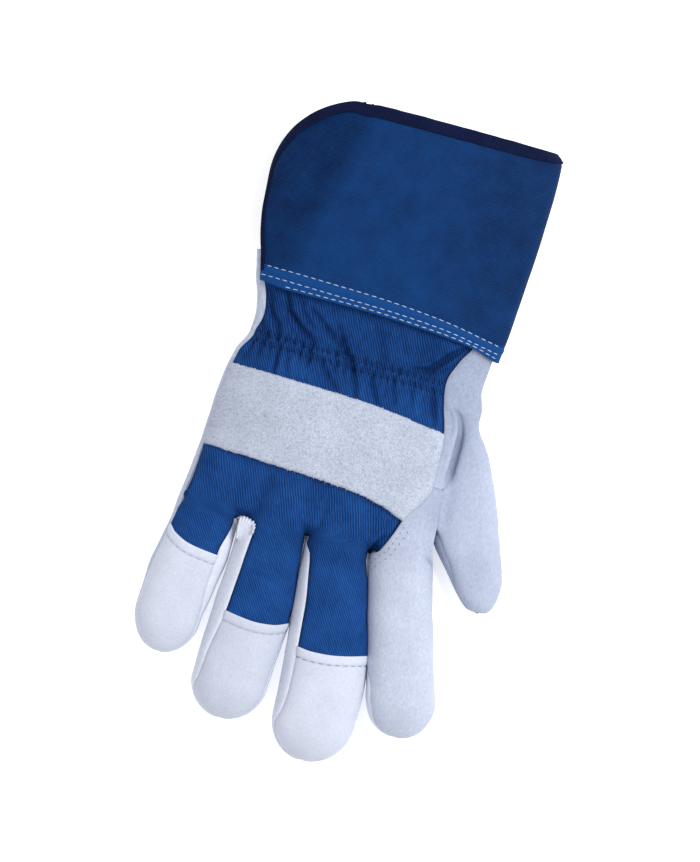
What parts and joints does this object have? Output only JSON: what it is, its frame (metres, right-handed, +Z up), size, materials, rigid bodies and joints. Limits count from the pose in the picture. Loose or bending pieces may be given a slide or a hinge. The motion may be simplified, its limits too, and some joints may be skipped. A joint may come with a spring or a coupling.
{
  "type": "rigger glove",
  "caption": "Work glove for the right hand with a leather palm, a drill back gathered at the wrist, a knuckle strap and a wide bound cuff.",
  "frame": {"origin": "the middle of the glove's outline, on the surface that it lies on", "axes": "+X towards the thumb, +Y along the middle fingers' direction towards the cuff's mouth, +Z up through the back of the hand"},
  "size_m": [0.1431, 0.2693, 0.0292],
  "materials": {
    "split_leather": "pale grey split leather with a fine nap",
    "napped_leather": "split leather with a coarse fibrous nap",
    "cap_leather": "smoother pale split leather",
    "side_leather": "thin pale split leather",
    "cotton_drill": "matt royal blue twill",
    "rubberised_drill": "dark blue twill stiffened with a rubber film",
    "binding_tape": "navy woven tape"
  },
  "bodies": {
    "root": {"palm": "split_leather", "knuckle_strap": "napped_leather", "little_finger_cap": "cap_leather", "ring_finger_cap": "cap_leather", "middle_finger_cap": "cap_leather", "index_finger_cover": "split_leather", "thumb_back": "split_leather", "thumb_front": "split_leather", "side_strip": "split_leather", "side_wall_little_ring": "side_leather", "side_wall_ring_middle": "side_leather", "side_wall_middle_index": "side_leather", "back_drill": "cotton_drill", "cuff": "rubberised_drill", "cuff_binding": "binding_tape"}
  },
  "joints": []
}
